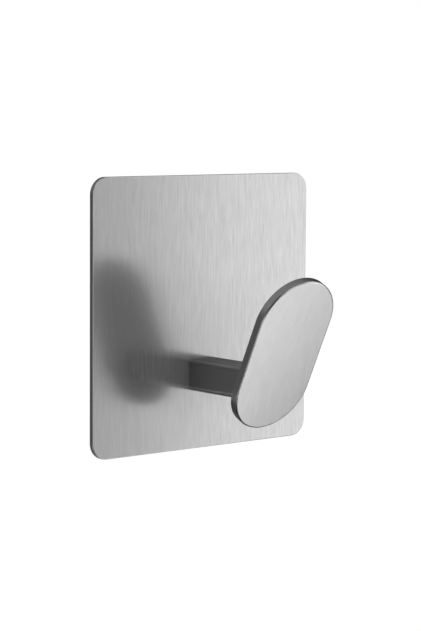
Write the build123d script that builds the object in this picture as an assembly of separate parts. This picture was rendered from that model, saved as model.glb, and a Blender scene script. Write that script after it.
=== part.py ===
"""Adhesive wall hook: a square steel plate, a short bar and a slanted paddle, on a foam pad."""

import os

from build123d import *

# Frame, in millimetres: X to the right, +Y into the wall, +Z up.
# The origin is the centre of the foam pad's sticky face, where it meets the wall.

# Foam pad that sticks the plate to the wall
pad_thickness = 0.8
pad_margin = 1.0

# Back plate, cut from steel sheet
plate_width = 60.0
plate_height = 60.0
plate_thickness = 1.0
plate_corner_radius = 3.7
plate_front_edge_radius = 0.2
plate_back_edge_radius = 0.05

# Post, a length of bar that stands square out of the plate, below its centre
post_width = 8.0
post_height = 6.9
post_edge_radius = 1.0
post_length = 21.9
post_drop = 13.6

# Paddle, a round-ended blank that leans outward at its top
paddle_width = 19.5
paddle_length = 35.8
paddle_thickness = 1.95
paddle_tilt = 25.5
paddle_front_edge_radius = 0.4
paddle_back_edge_radius = 0.1

# Seats, one on the other from the wall outward.
# Each faces away from the wall and has its own Y axis up, and only the paddle's is slanted.
pad_seat = Plane.XZ
plate_seat = pad_seat.offset(pad_thickness)
post_seat = plate_seat.offset(plate_thickness).move(Pos(Y=-post_drop))
paddle_seat = post_seat.offset(post_length).rotated((paddle_tilt, 0, 0))


def broad_faces(sheet, seat):
    """Give the two broad faces of a sheet that lies on its seat, from the back one to the front one."""
    return sheet.faces().filter_by(seat).sort_by(Axis(seat.origin, seat.z_dir))


def make_adhesive_pad():
    """Foam sheet with the plate's outline, held in from its edge by an even margin."""
    with BuildPart() as pad:
        with BuildSketch(pad_seat):
            RectangleRounded(plate_width, plate_height, plate_corner_radius)
            offset(amount=-pad_margin, mode=Mode.REPLACE)
        extrude(amount=pad_thickness)
    return pad.part


def make_back_plate():
    """Rounded square of sheet, with a rounded front edge and the burr taken off the back one."""
    with BuildPart() as plate:
        with BuildSketch(plate_seat):
            RectangleRounded(plate_width, plate_height, plate_corner_radius)
        extrude(amount=plate_thickness)
        fillet(broad_faces(plate, plate_seat).first.edges(), plate_back_edge_radius)
        fillet(broad_faces(plate, plate_seat).last.edges(), plate_front_edge_radius)
    return plate.part


def make_post():
    """Bar with rounded long edges, cut square at the plate and mitred to the paddle's slant."""
    uncut_length = post_length + post_height
    with BuildPart() as post:
        with BuildSketch(post_seat):
            RectangleRounded(post_width, post_height, post_edge_radius)
        extrude(amount=uncut_length)
        split(bisect_by=paddle_seat, keep=Keep.BOTTOM)
    return post.part


def make_paddle():
    """Round-ended blank whose lower end is concentric with the post that carries it."""
    end_centre_distance = paddle_length - paddle_width
    with BuildPart() as paddle:
        with BuildSketch(paddle_seat):
            with Locations((0, end_centre_distance / 2)):
                SlotCenterToCenter(end_centre_distance, paddle_width, rotation=90)
        extrude(amount=paddle_thickness)
        fillet(broad_faces(paddle, paddle_seat).first.edges(), paddle_back_edge_radius)
        fillet(broad_faces(paddle, paddle_seat).last.edges(), paddle_front_edge_radius)
    return paddle.part


pieces = {
    "adhesive_pad": make_adhesive_pad(),
    "back_plate": make_back_plate(),
    "post": make_post(),
    "paddle": make_paddle(),
}

os.makedirs("parts", exist_ok=True)
for name, solid in pieces.items():
    export_step(solid, f"parts/{name}.step")
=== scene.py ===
"""Adhesive wall hook of brushed stainless steel: the finish of its pieces, and a studio to show them in."""
import math

import bmesh
import bpy
from mathutils import Euler, Matrix, Vector, noise


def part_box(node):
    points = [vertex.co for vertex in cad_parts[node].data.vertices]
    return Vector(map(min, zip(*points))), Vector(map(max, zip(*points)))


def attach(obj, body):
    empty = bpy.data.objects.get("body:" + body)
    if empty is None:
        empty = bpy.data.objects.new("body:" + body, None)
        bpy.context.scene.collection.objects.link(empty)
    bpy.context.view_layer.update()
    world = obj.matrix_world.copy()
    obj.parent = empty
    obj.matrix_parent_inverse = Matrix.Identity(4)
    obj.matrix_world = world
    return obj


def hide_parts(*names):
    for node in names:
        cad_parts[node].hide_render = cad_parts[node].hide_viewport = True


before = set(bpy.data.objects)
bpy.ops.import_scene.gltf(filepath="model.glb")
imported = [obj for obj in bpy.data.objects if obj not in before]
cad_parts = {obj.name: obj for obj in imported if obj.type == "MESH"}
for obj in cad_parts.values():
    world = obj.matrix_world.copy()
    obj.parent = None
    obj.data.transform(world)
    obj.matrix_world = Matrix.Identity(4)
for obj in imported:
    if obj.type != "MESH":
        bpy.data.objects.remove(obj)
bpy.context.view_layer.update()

MM = 0.001

# The photographer's viewpoint, worked out from the plate's four edges.
# Angles are in degrees, here and below.
PICTURE_LONG_SIDE = 631
FOCAL_LENGTH_PIXELS = 2042
SENSOR_WIDTH = 36
CAMERA_AZIMUTH = -39.4
CAMERA_ELEVATION = 5.96
CAMERA_ROLL = 0.4
CAMERA_DISTANCE = 447.4 * MM
AIM_RIGHT_OF_PLATE_CENTRE = 1.56 * MM
AIM_BELOW_PLATE_CENTRE = 0.78 * MM
NEAREST_IN_VIEW = 10 * MM

# Finishing lines are noise drawn out one way, low in a furrow and high on a ridge.
# Noise is weak at whole multiples of its scale, so a broad face is set a third of a line away from them.
FURROW = 0.3
RIDGE = 0.7
LINE_DETAIL = 2.0
LINE_OFFSET = 1 / 3

# A rounded edge takes on its broad face's finish between these cosines of the angle to that face.
# The plate's broad faces look straight out of the wall and straight into it.
OUT_OF_WALL = (0, -1, 0)
FINISH_STARTS = 0.5
FINISH_FULL = 0.9

# Back plate: sheet brushed in upright lines, then cut to its outline.
# Real brush lines are about 0.05 mm wide. They are drawn wider here, or they would not show.
# It is a little less than all metal, which gives the brushing a faint matt haze.
PLATE_LINE_WIDTH = 0.12 * MM
PLATE_LINE_LENGTH = 4.5 * MM
PLATE_LINE_DEPTH = 0.0006 * MM
PLATE_LINE_RAGGEDNESS = 0.6
PLATE_FURROW_COLOUR = "BCBCBC"
PLATE_RIDGE_COLOUR = "F7F7F7"
PLATE_FURROW_ROUGHNESS = 0.21
PLATE_RIDGE_ROUGHNESS = 0.18
PLATE_METALLIC = 0.92
PLATE_ANISOTROPY = 0.4
CUT_EDGE_COLOUR = "A0A0A0"
CUT_EDGE_ROUGHNESS = 0.35

# The way across the plate's lines, with a slight lean so that it never points straight out of an edge
ACROSS_X = 1.0
ACROSS_Y = 0.05

# Post: bar satin finished along its length, with painted shade that darkens it beside the plate.
# These lines too are drawn wider than the real ones.
POST_LINE_WIDTH = 0.12 * MM
POST_LINE_LENGTH = 9.0 * MM
POST_LINE_DEPTH = 0.0005 * MM
# Painted shade: the bar's colour goes from the darker one by the plate to the paler one by the paddle.
POST_SHADED_COLOUR_BY_PLATE = "A0A0A0"
POST_COLOUR_BY_PADDLE = "CACACA"
POST_FURROW_SHADE = 0.9
POST_FURROW_ROUGHNESS = 0.38
POST_RIDGE_ROUGHNESS = 0.46
POST_GRAZING_TINT = "7A7A7A"

# Paddle: blank with a fine satin face, a tumbled rim, and a duller back whose darker colour is painted
# shade.
# The satin's lines are drawn wider than the real ones, as on the plate.
PADDLE_LINE_WIDTH = 0.4 * MM
PADDLE_LINE_LENGTH = 3.0 * MM
PADDLE_FURROW_COLOUR = "EEEEEE"
PADDLE_RIDGE_COLOUR = "F9F9F9"
PADDLE_ROUGHNESS = 0.255
PADDLE_RIM_COLOUR = "C4C4C4"
PADDLE_RIM_ROUGHNESS = 0.3
# The back's dark colour is painted shade, on the side that faces the plate.
PADDLE_SHADED_BACK_COLOUR = "808080"
PADDLE_BACK_ROUGHNESS = 0.5
PADDLE_GRAZING_TINT = "707070"

# Foam pad: die cut from sheet, with shallow hollows where the liner was peeled off.
# They fade towards its rim by a power of the way out, and a higher power keeps the flat rim narrower.
PAD_EDGE_BULGE = 0.06 * MM
PAD_EDGE_STEPS = 6
PAD_ARC_STEPS = 8
PAD_RING_SPACING = 0.75 * MM
PAD_HOLLOW_DEPTH = 0.3 * MM
PAD_HOLLOW_SIZE = 5.0 * MM
PAD_HOLLOW_FADE = 8
SAME_HEIGHT = 0.001 * MM

# The foam's real cells are about 0.2 mm across. They are drawn coarser here, or they would not show.
FOAM_CELL_SIZE = 0.9 * MM
FOAM_CELL_DEPTH = 0.12 * MM
FOAM_CELL_BUMP = 0.6
FOAM_CELL_SHADE = 0.65
FOAM_MOTTLE_SIZE = 3.0 * MM
FOAM_MOTTLE_DETAIL = 4.0
FOAM_DARK = "343537"
FOAM_LIGHT = "565758"
FOAM_TACKY_ROUGHNESS = 0.4
FOAM_DRY_ROUGHNESS = 0.65
ACRYLIC_IOR = 1.49

# Floor, in metres as all of the studio is
FLOOR_HEIGHT = -0.25
FLOOR_REACH = 6.0
FLOOR_COLOUR = "FAFAFA"

# Light: white from all sides, and a soft key lamp above the hook, in front of it and to its right
STUDIO_WHITE = "FFFFFF"
KEY_STRENGTH = 0.3
KEY_SPREAD = 25
KEY_TO_FRONT = 35
KEY_TO_RIGHT = 25

# Dark flags and cloths, and paler cards, stand round the hook for its steel to mirror.
# They were set one by one until each face had about the grey that it has in the photograph.
CARD_RADIUS = 0.45
CARD_TOP = 0.5
CARD_STEP = 5
CARD_FEWEST_STEPS = 2
CLOTH_HEIGHT = FLOOR_HEIGHT + 0.01
CENTRE_HOLE = 0.01

# Where each one starts and ends, as azimuths: 0 in front of the hook, 90 to its right, below 0 to its left
LEFT_FLAG_FROM = -80
LEFT_CLOTH_FROM = -65
FRONT_CLOTH_FROM = -32
FRONT_FROM = -15
SHADE_FROM = 18
STRIP_FROM = 37.5
STRIP_TO = 39
RIGHT_FLAG_FROM = 57
EDGE_FLAG_FROM = 66
RIGHT_FROM = 86
SIDE_FLAG_FROM = 102
BACK_FROM = 125
BEHIND = 180
FULL_TURN = 360

# Heights where one ends and the next starts, and how far out the cloths lie
LEFT_FLAG_BOTTOM = -0.17
FRONT_CARD_BOTTOM = -0.1
STRIP_BOTTOM = -0.085
STRIP_TOP = -0.045
RIGHT_FLAG_TOP = -0.15
EDGE_FLAG_TOP = 0.12
BACK_CARD_TOP = -0.04
BACK_FLAG_TOP = 0.12
UNDER_CLOTH_REACH = 0.16
LEFT_CLOTH_REACH = 0.3
FRONT_CLOTH_INNER = 0.25

CLOTH_GREY = "202020"
LEFT_FLAG_GREY = "484848"
FRONT_CARD_GREY = "D8D8D8"
SHADE_GREY = "A0A0A0"
STRIP_GREY = "606060"
RIGHT_FLAG_GREY = "505050"
EDGE_FLAG_GREY = "404040"
RIGHT_CARD_GREY = "C8C8C8"
BACK_CARD_GREY = "C0C0C0"
BACK_FLAG_GREY = "606060"
CEILING_LEFT_GREY = "929292"
CEILING_RIGHT_GREY = "8C8C8C"

# Sockets of a Mix node, which has a pair for numbers and a pair for colours under the same names
FACTOR = 0
NUMBER_A, NUMBER_B, NUMBER_RESULT = 2, 3, 0
COLOUR_A, COLOUR_B, COLOUR_RESULT = 6, 7, 2


def linear(hex_colour):
    """Turn an sRGB hex colour into the linear RGBA that shaders take."""
    channels = [int(hex_colour[i:i + 2], 16) / 255 for i in (0, 2, 4)]
    toned = [c / 12.92 if c <= 0.04045 else ((c + 0.055) / 1.055) ** 2.4 for c in channels]
    return (*toned, 1.0)


def add_node(tree, kind, inputs=None, **settings):
    """Add a node, set its properties, and give each input a value or a link from another socket."""
    node = tree.nodes.new(kind)
    for name, value in settings.items():
        setattr(node, name, value)
    for name, value in (inputs or {}).items():
        if isinstance(value, bpy.types.NodeSocket):
            tree.links.new(value, node.inputs[name])
        else:
            node.inputs[name].default_value = value
    return node


def new_material(name):
    """Start an empty material, and give it back with its node tree."""
    material = bpy.data.materials.new(name)
    material.use_nodes = True
    material.node_tree.nodes.clear()
    return material, material.node_tree


def brushed_stainless_sheet():
    """Stainless sheet brushed one way: fine upright lines, and reflections drawn out across them.

    The cut edge has no brushing, so it is a darker and duller grey.
    """
    material, tree = new_material("brushed_stainless_sheet")
    spot = add_node(tree, "ShaderNodeTexCoord")
    along_lines = add_node(tree, "ShaderNodeMapping", {
        "Vector": spot.outputs["Object"], "Location": (0, PLATE_LINE_WIDTH * LINE_OFFSET, 0),
        "Scale": (PLATE_LINE_WIDTH, PLATE_LINE_WIDTH, PLATE_LINE_LENGTH)},
        vector_type="TEXTURE").outputs[0]
    line = add_node(tree, "ShaderNodeTexNoise", {
        "Vector": along_lines, "Scale": 1.0, "Detail": LINE_DETAIL,
        "Roughness": PLATE_LINE_RAGGEDNESS}).outputs["Fac"]
    facing = add_node(tree, "ShaderNodeVectorMath", {
        0: spot.outputs["Normal"], 1: OUT_OF_WALL}, operation="DOT_PRODUCT").outputs["Value"]
    broadside = add_node(tree, "ShaderNodeMath", {0: facing}, operation="ABSOLUTE").outputs[0]
    on_face = add_node(tree, "ShaderNodeMapRange", {
        "Value": broadside, "From Min": FINISH_STARTS, "From Max": FINISH_FULL}).outputs[0]
    brushed = add_node(tree, "ShaderNodeMix", {
        FACTOR: line, COLOUR_A: linear(PLATE_FURROW_COLOUR), COLOUR_B: linear(PLATE_RIDGE_COLOUR)},
        data_type="RGBA").outputs[COLOUR_RESULT]
    colour = add_node(tree, "ShaderNodeMix", {
        FACTOR: on_face, COLOUR_A: linear(CUT_EDGE_COLOUR), COLOUR_B: brushed},
        data_type="RGBA").outputs[COLOUR_RESULT]
    line_roughness = add_node(tree, "ShaderNodeMapRange", {
        "Value": line, "From Min": FURROW, "From Max": RIDGE,
        "To Min": PLATE_FURROW_ROUGHNESS, "To Max": PLATE_RIDGE_ROUGHNESS}).outputs[0]
    roughness = add_node(tree, "ShaderNodeMix", {
        FACTOR: on_face, NUMBER_A: CUT_EDGE_ROUGHNESS, NUMBER_B: line_roughness}).outputs[NUMBER_RESULT]
    across = add_node(tree, "ShaderNodeCombineXYZ", {"X": ACROSS_X, "Y": ACROSS_Y}).outputs[0]
    furrows = add_node(tree, "ShaderNodeBump", {
        "Height": line, "Distance": PLATE_LINE_DEPTH, "Strength": 1.0}).outputs[0]
    steel = add_node(tree, "ShaderNodeBsdfPrincipled", {
        "Base Color": colour, "Metallic": PLATE_METALLIC, "Roughness": roughness,
        "Anisotropic": PLATE_ANISOTROPY, "Tangent": across, "Normal": furrows})
    add_node(tree, "ShaderNodeOutputMaterial", {"Surface": steel.outputs[0]})
    return material


def satin_stainless_bar():
    """Stainless bar satin finished along its length: dark, soft reflections, faint lines along it, and
    painted shade by the plate.
    """
    material, tree = new_material("satin_stainless_bar")
    low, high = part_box("post")
    spot = add_node(tree, "ShaderNodeTexCoord").outputs["Object"]
    along_lines = add_node(tree, "ShaderNodeMapping", {
        "Vector": spot, "Scale": (POST_LINE_WIDTH, POST_LINE_LENGTH, POST_LINE_WIDTH)},
        vector_type="TEXTURE").outputs[0]
    line = add_node(tree, "ShaderNodeTexNoise", {
        "Vector": along_lines, "Scale": 1.0, "Detail": LINE_DETAIL}).outputs["Fac"]
    depth = add_node(tree, "ShaderNodeSeparateXYZ", {0: spot}).outputs["Y"]
    # Painted shade: the colour darkens towards the plate.
    out_of_plate_shade = add_node(tree, "ShaderNodeMapRange", {
        "Value": depth, "From Min": high.y, "From Max": low.y}).outputs[0]
    satin = add_node(tree, "ShaderNodeMix", {
        FACTOR: out_of_plate_shade, COLOUR_A: linear(POST_SHADED_COLOUR_BY_PLATE),
        COLOUR_B: linear(POST_COLOUR_BY_PADDLE)}, data_type="RGBA").outputs[COLOUR_RESULT]
    shade = add_node(tree, "ShaderNodeMapRange", {"Value": line, "To Min": POST_FURROW_SHADE}).outputs[0]
    colour = add_node(tree, "ShaderNodeVectorMath", {
        0: satin, "Scale": shade}, operation="SCALE").outputs[0]
    roughness = add_node(tree, "ShaderNodeMapRange", {
        "Value": line, "To Min": POST_FURROW_ROUGHNESS, "To Max": POST_RIDGE_ROUGHNESS}).outputs[0]
    furrows = add_node(tree, "ShaderNodeBump", {
        "Height": line, "Distance": POST_LINE_DEPTH, "Strength": 1.0}).outputs[0]
    steel = add_node(tree, "ShaderNodeBsdfPrincipled", {
        "Base Color": colour, "Metallic": 1.0, "Roughness": roughness,
        "Specular Tint": linear(POST_GRAZING_TINT), "Normal": furrows})
    add_node(tree, "ShaderNodeOutputMaterial", {"Surface": steel.outputs[0]})
    return material


def broad_face_direction(node):
    """Give the way a node's front broad face looks, from its largest triangle."""
    normal = max(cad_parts[node].data.polygons, key=lambda face: face.area).normal
    return normal if normal.y < 0 else -normal


def satin_stainless_blank():
    """Stainless blank with a fine satin face: an even, soft light grey.

    Its tumbled rim is duller and darker. Its back is duller, and darker by painted shade.
    """
    material, tree = new_material("satin_stainless_blank")
    outward = broad_face_direction("paddle")
    lean = math.atan2(-outward.z, -outward.y)
    spot = add_node(tree, "ShaderNodeTexCoord")
    along_lines = add_node(tree, "ShaderNodeMapping", {
        "Vector": spot.outputs["Object"], "Rotation": (lean, 0, 0),
        "Location": outward * PADDLE_LINE_WIDTH * LINE_OFFSET,
        "Scale": (PADDLE_LINE_WIDTH, PADDLE_LINE_WIDTH, PADDLE_LINE_LENGTH)},
        vector_type="TEXTURE").outputs[0]
    line = add_node(tree, "ShaderNodeTexNoise", {
        "Vector": along_lines, "Scale": 1.0, "Detail": LINE_DETAIL}).outputs["Fac"]
    on_ridge = add_node(tree, "ShaderNodeMapRange", {
        "Value": line, "From Min": FURROW, "From Max": RIDGE}).outputs[0]
    satin = add_node(tree, "ShaderNodeMix", {
        FACTOR: on_ridge, COLOUR_A: linear(PADDLE_FURROW_COLOUR), COLOUR_B: linear(PADDLE_RIDGE_COLOUR)},
        data_type="RGBA").outputs[COLOUR_RESULT]
    facing_out = add_node(tree, "ShaderNodeVectorMath", {
        0: spot.outputs["Normal"], 1: outward}, operation="DOT_PRODUCT").outputs["Value"]
    on_face = add_node(tree, "ShaderNodeMapRange", {
        "Value": facing_out, "From Min": FINISH_STARTS, "From Max": FINISH_FULL}).outputs[0]
    on_back = add_node(tree, "ShaderNodeMapRange", {
        "Value": facing_out, "From Min": -FINISH_STARTS, "From Max": -FINISH_FULL}).outputs[0]
    # Rim colour, and painted shade on the back.
    rim_and_shaded_back = add_node(tree, "ShaderNodeMix", {
        FACTOR: on_back, COLOUR_A: linear(PADDLE_RIM_COLOUR), COLOUR_B: linear(PADDLE_SHADED_BACK_COLOUR)},
        data_type="RGBA").outputs[COLOUR_RESULT]
    colour = add_node(tree, "ShaderNodeMix", {
        FACTOR: on_face, COLOUR_A: rim_and_shaded_back, COLOUR_B: satin}, data_type="RGBA").outputs[COLOUR_RESULT]
    dullness = add_node(tree, "ShaderNodeMapRange", {
        "Value": on_back, "To Min": PADDLE_RIM_ROUGHNESS, "To Max": PADDLE_BACK_ROUGHNESS}).outputs[0]
    roughness = add_node(tree, "ShaderNodeMix", {
        FACTOR: on_face, NUMBER_A: dullness, NUMBER_B: PADDLE_ROUGHNESS}).outputs[NUMBER_RESULT]
    steel = add_node(tree, "ShaderNodeBsdfPrincipled", {
        "Base Color": colour, "Metallic": 1.0, "Roughness": roughness,
        "Specular Tint": linear(PADDLE_GRAZING_TINT)})
    add_node(tree, "ShaderNodeOutputMaterial", {"Surface": steel.outputs[0]})
    return material


def closed_cell_acrylic_foam():
    """Dark acrylic foam, cast as sheet: matt with a soft tacky gleam, and pebbled by fine closed cells."""
    material, tree = new_material("closed_cell_acrylic_foam")
    spot = add_node(tree, "ShaderNodeTexCoord").outputs["Object"]
    cell = add_node(tree, "ShaderNodeTexVoronoi", {
        "Vector": spot, "Scale": 1 / FOAM_CELL_SIZE, "Randomness": 1.0}).outputs["Distance"]
    mottle = add_node(tree, "ShaderNodeTexNoise", {
        "Vector": spot, "Scale": 1 / FOAM_MOTTLE_SIZE, "Detail": FOAM_MOTTLE_DETAIL}).outputs["Fac"]
    mottled = add_node(tree, "ShaderNodeMix", {
        FACTOR: mottle, COLOUR_A: linear(FOAM_DARK), COLOUR_B: linear(FOAM_LIGHT)},
        data_type="RGBA").outputs[COLOUR_RESULT]
    shade = add_node(tree, "ShaderNodeMapRange", {"Value": cell, "To Min": FOAM_CELL_SHADE}).outputs[0]
    colour = add_node(tree, "ShaderNodeVectorMath", {
        0: mottled, "Scale": shade}, operation="SCALE").outputs[0]
    roughness = add_node(tree, "ShaderNodeMapRange", {
        "Value": mottle, "To Min": FOAM_TACKY_ROUGHNESS, "To Max": FOAM_DRY_ROUGHNESS}).outputs[0]
    pebbles = add_node(tree, "ShaderNodeBump", {
        "Height": cell, "Distance": FOAM_CELL_DEPTH, "Strength": FOAM_CELL_BUMP}, invert=True).outputs[0]
    foam = add_node(tree, "ShaderNodeBsdfPrincipled", {
        "Base Color": colour, "Roughness": roughness, "IOR": ACRYLIC_IOR, "Normal": pebbles})
    add_node(tree, "ShaderNodeOutputMaterial", {"Surface": foam.outputs[0]})
    return material


def dress(node, material):
    """Give a CAD node its finish."""
    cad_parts[node].material_slots[0].material = material


def corner_radius(node):
    """Measure a rounded square's corners on its mesh, from where its top edge stops being straight."""
    low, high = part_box(node)
    corners = [vertex.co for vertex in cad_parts[node].data.vertices]
    straight_top = [corner.x for corner in corners if high.z - corner.z < SAME_HEIGHT]
    return high.x - max(straight_top)


def rounded_square(half_width, half_height, radius):
    """Go round a rounded square from its right side: four arcs, and sides as finely divided as the rings."""
    arcs = []
    for quarter, (right, up) in enumerate([(1, 1), (-1, 1), (-1, -1), (1, -1)]):
        centre = Vector((right * (half_width - radius), up * (half_height - radius)))
        turns = [math.pi / 2 * (quarter + i / PAD_ARC_STEPS) for i in range(PAD_ARC_STEPS + 1)]
        arcs.append([centre + radius * Vector((math.cos(turn), math.sin(turn))) for turn in turns])
    points = []
    for arc, next_arc in zip(arcs, arcs[1:] + arcs[:1]):
        side_steps = math.ceil((next_arc[0] - arc[-1]).length / PAD_RING_SPACING)
        points += arc
        points += [arc[-1].lerp(next_arc[0], i / side_steps) for i in range(1, side_steps)]
    return points


def sticky_face_rings(outline, wall_y):
    """Give the rings of the face on the wall, from its middle outward, with its hollows."""
    ring_count = round(max(point.x for point in outline) / PAD_RING_SPACING)
    rings = []
    for i in range(1, ring_count + 1):
        way_out = i / ring_count
        flat = [point * way_out for point in outline]
        depth = PAD_HOLLOW_DEPTH * (1 - way_out ** PAD_HOLLOW_FADE)
        hollows = [depth * max(0, noise.noise((p / PAD_HOLLOW_SIZE).to_3d())) ** 2 for p in flat]
        rings.append([(p.x, wall_y - hollow, p.y) for p, hollow in zip(flat, hollows)])
    return rings


def cut_edge_rings(outline, face_share, wall_y, plate_y):
    """Give the rings of the die-cut edge, from the wall to the plate. Halfway, it swells to the outline."""
    rings = []
    for i in range(1, PAD_EDGE_STEPS + 1):
        down = i / PAD_EDGE_STEPS
        share = face_share + (1 - face_share) * math.sin(math.pi * down)
        y = wall_y + (plate_y - wall_y) * down
        rings.append([(point.x * share, y, point.y * share) for point in outline])
    return rings


def skin(name, middle, rings):
    """Close a smooth mesh over rings of points: a fan at the middle, bands, and one flat face at the end."""
    bm = bmesh.new()
    centre = bm.verts.new(middle)
    rows = [[bm.verts.new(corner) for corner in ring] for ring in rings]
    count = len(rows[0])
    for k in range(count):
        following = (k + 1) % count
        bm.faces.new((centre, rows[0][k], rows[0][following]))
        for inner, outer in zip(rows, rows[1:]):
            bm.faces.new((inner[k], outer[k], outer[following], inner[following]))
    bm.faces.new(rows[-1])
    bmesh.ops.recalc_face_normals(bm, faces=bm.faces)
    for face in bm.faces:
        face.smooth = True
    mesh = bpy.data.meshes.new(name)
    bm.to_mesh(mesh)
    bm.free()
    return mesh


def make_foam_pad():
    """Foam sheet as seen from the wall: a softly hollowed face and a die-cut edge that bulges a little."""
    low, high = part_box("adhesive_pad")
    half_width = (high.x - low.x) / 2
    half_height = (high.z - low.z) / 2
    outline = rounded_square(half_width, half_height, corner_radius("adhesive_pad"))
    face_share = 1 - PAD_EDGE_BULGE / half_width
    face_outline = [point * face_share for point in outline]
    rings = sticky_face_rings(face_outline, high.y) + cut_edge_rings(outline, face_share, high.y, low.y)
    mesh = skin("foam_pad", (0, high.y, 0), rings)
    mesh.materials.append(closed_cell_acrylic_foam())
    pad = bpy.data.objects.new("foam_pad", mesh)
    bpy.context.scene.collection.objects.link(pad)
    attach(pad, "root")
    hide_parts("adhesive_pad")


def matt_sheet(name, colour):
    """Matt paper or cloth, plain all over, for the studio."""
    material, tree = new_material("matt_" + name)
    paper = add_node(tree, "ShaderNodeBsdfDiffuse", {"Color": linear(colour)})
    add_node(tree, "ShaderNodeOutputMaterial", {"Surface": paper.outputs[0]})
    return material


def add_stage_sheet(name, corners, faces, colour):
    """Add a sheet that is part of the studio and not of the hook."""
    mesh = bpy.data.meshes.new(name)
    mesh.from_pydata(corners, [], faces)
    mesh.materials.append(matt_sheet(name, colour))
    sheet = bpy.data.objects.new(name, mesh)
    bpy.context.scene.collection.objects.link(sheet)
    return sheet


def lay_floor():
    """Lay plain pale paper well below the hook."""
    square = [(-1, -1), (1, -1), (1, 1), (-1, 1)]
    corners = [(x * FLOOR_REACH, y * FLOOR_REACH, FLOOR_HEIGHT) for x, y in square]
    add_stage_sheet("studio_floor", corners, [(0, 1, 2, 3)], FLOOR_COLOUR)


def upright(bottom, top):
    """Give the profile of a card that stands at the ring's radius, as (radius, height) points."""
    return [(CARD_RADIUS, bottom), (CARD_RADIUS, top)]


def lying(inner, outer):
    """Give the profile of a cloth that lies just above the floor."""
    return [(inner, CLOTH_HEIGHT), (outer, CLOTH_HEIGHT)]


def turned_up(top):
    """Give the profile of a sheet that lies out from the cloth under the hook and turns up at the ring."""
    return lying(UNDER_CLOTH_REACH, CARD_RADIUS) + [(CARD_RADIUS, top)]


def add_card(name, start, end, profile, colour):
    """Sweep a profile round the hook from one azimuth to another, as a sheet that only reflections see."""
    steps = max(CARD_FEWEST_STEPS, round((end - start) / CARD_STEP))
    corners = []
    for i in range(steps + 1):
        turn = math.radians(start + (end - start) * i / steps)
        corners += [(r * math.sin(turn), -r * math.cos(turn), h) for r, h in profile]
    n = len(profile)
    faces = [(i * n + j, (i + 1) * n + j, (i + 1) * n + j + 1, i * n + j + 1)
             for i in range(steps) for j in range(n - 1)]
    card = add_stage_sheet(name, corners, faces, colour)
    card.visible_camera = False
    card.visible_diffuse = False
    card.visible_shadow = False
    card.visible_transmission = False


def stand_cards():
    """Ring the hook with cards and cloths.

    The narrow strip shades the plate behind the paddle.
    The edge flag draws the thin line on the paddle's upper right.
    """
    back_left_to = LEFT_FLAG_FROM + FULL_TURN
    overhead = [(CENTRE_HOLE, CARD_TOP), (CARD_RADIUS, CARD_TOP)]
    cards = [
        ("under_cloth", -BEHIND, BEHIND, lying(CENTRE_HOLE, UNDER_CLOTH_REACH), CLOTH_GREY),
        ("left_cloth", LEFT_CLOTH_FROM, FRONT_FROM, lying(UNDER_CLOTH_REACH, LEFT_CLOTH_REACH), CLOTH_GREY),
        ("left_flag", LEFT_FLAG_FROM, FRONT_FROM, upright(LEFT_FLAG_BOTTOM, CARD_TOP), LEFT_FLAG_GREY),
        ("left_skirt", FRONT_CLOTH_FROM, FRONT_FROM, upright(CLOTH_HEIGHT, LEFT_FLAG_BOTTOM), CLOTH_GREY),
        ("front_cloth", FRONT_CLOTH_FROM, SHADE_FROM, lying(FRONT_CLOTH_INNER, CARD_RADIUS), CLOTH_GREY),
        ("front_skirt", FRONT_FROM, SHADE_FROM, upright(CLOTH_HEIGHT, FRONT_CARD_BOTTOM), CLOTH_GREY),
        ("front_card", FRONT_FROM, SHADE_FROM, upright(FRONT_CARD_BOTTOM, CARD_TOP), FRONT_CARD_GREY),
        ("front_shade", SHADE_FROM, STRIP_FROM, upright(CLOTH_HEIGHT, CARD_TOP), SHADE_GREY),
        ("narrow_strip", STRIP_FROM, STRIP_TO, upright(STRIP_BOTTOM, STRIP_TOP), STRIP_GREY),
        ("right_flag", RIGHT_FLAG_FROM, BACK_FROM, turned_up(RIGHT_FLAG_TOP), RIGHT_FLAG_GREY),
        ("edge_flag", EDGE_FLAG_FROM, RIGHT_FROM, upright(RIGHT_FLAG_TOP, EDGE_FLAG_TOP), EDGE_FLAG_GREY),
        ("right_card", RIGHT_FROM, SIDE_FLAG_FROM, upright(RIGHT_FLAG_TOP, CARD_TOP), RIGHT_CARD_GREY),
        ("side_flag", SIDE_FLAG_FROM, BACK_FROM, upright(RIGHT_FLAG_TOP, CARD_TOP), BACK_FLAG_GREY),
        ("back_right_card", BACK_FROM, BEHIND, turned_up(BACK_CARD_TOP), BACK_CARD_GREY),
        ("back_right_flag", BACK_FROM, BEHIND, upright(BACK_CARD_TOP, CARD_TOP), BACK_FLAG_GREY),
        ("back_left_flag", BEHIND, back_left_to, turned_up(BACK_FLAG_TOP), BACK_FLAG_GREY),
        ("back_left_card", BEHIND, back_left_to, upright(BACK_FLAG_TOP, CARD_TOP), CEILING_LEFT_GREY),
        ("ceiling_left", -BEHIND, 0, overhead, CEILING_LEFT_GREY),
        ("ceiling_right", 0, BEHIND, overhead, CEILING_RIGHT_GREY),
    ]
    for name, start, end, profile, grey in cards:
        add_card(name, start, end, profile, grey)


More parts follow.
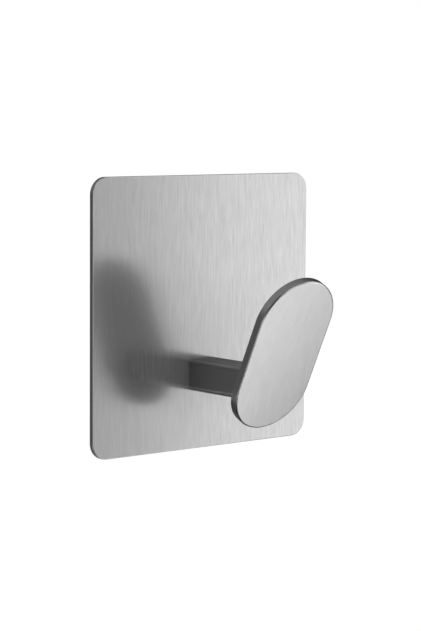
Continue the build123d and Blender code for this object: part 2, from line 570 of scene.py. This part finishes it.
def light_studio():
    """Light the hook evenly from all sides, with a soft key lamp that the steel does not mirror."""
    world = bpy.data.worlds.new("white_studio")
    world.use_nodes = True
    world.node_tree.nodes.clear()
    sky = add_node(world.node_tree, "ShaderNodeBackground", {
        "Color": linear(STUDIO_WHITE), "Strength": 1.0})
    add_node(world.node_tree, "ShaderNodeOutputWorld", {"Surface": sky.outputs[0]})
    bpy.context.scene.world = world

    lamp = bpy.data.lights.new("soft_key", "SUN")
    lamp.energy = KEY_STRENGTH
    lamp.angle = math.radians(KEY_SPREAD)
    key = bpy.data.objects.new("soft_key", lamp)
    key.rotation_euler = Euler((math.radians(KEY_TO_FRONT), math.radians(KEY_TO_RIGHT), 0))
    key.visible_glossy = False
    bpy.context.scene.collection.objects.link(key)


def aim_camera():
    """Stand the camera where the photographer stood, with the plate where it is in the photograph."""
    optics = bpy.data.cameras.new("photo_camera")
    optics.sensor_width = SENSOR_WIDTH
    optics.lens = FOCAL_LENGTH_PIXELS / PICTURE_LONG_SIDE * SENSOR_WIDTH
    optics.clip_start = NEAREST_IN_VIEW
    camera = bpy.data.objects.new("photo_camera", optics)
    bpy.context.scene.collection.objects.link(camera)

    azimuth = math.radians(CAMERA_AZIMUTH)
    elevation = math.radians(CAMERA_ELEVATION)
    level = Vector((math.sin(azimuth), -math.cos(azimuth), 0))
    backward = level * math.cos(elevation) + Vector((0, 0, math.sin(elevation)))
    roll = Matrix.Rotation(math.radians(CAMERA_ROLL), 3, "Z")
    turn = (-backward).to_track_quat("-Z", "Y").to_matrix() @ roll

    low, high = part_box("back_plate")
    face_centre = Vector(((low.x + high.x) / 2, low.y, (low.z + high.z) / 2))
    aim = face_centre + turn.col[0] * AIM_RIGHT_OF_PLATE_CENTRE - turn.col[1] * AIM_BELOW_PLATE_CENTRE
    camera.matrix_world = Matrix.Translation(aim + backward * CAMERA_DISTANCE) @ turn.to_4x4()
    bpy.context.scene.camera = camera
    bpy.context.scene.view_settings.view_transform = "Standard"


dress("back_plate", brushed_stainless_sheet())
dress("post", satin_stainless_bar())
dress("paddle", satin_stainless_blank())
make_foam_pad()

lay_floor()
stand_cards()
light_studio()
aim_camera()
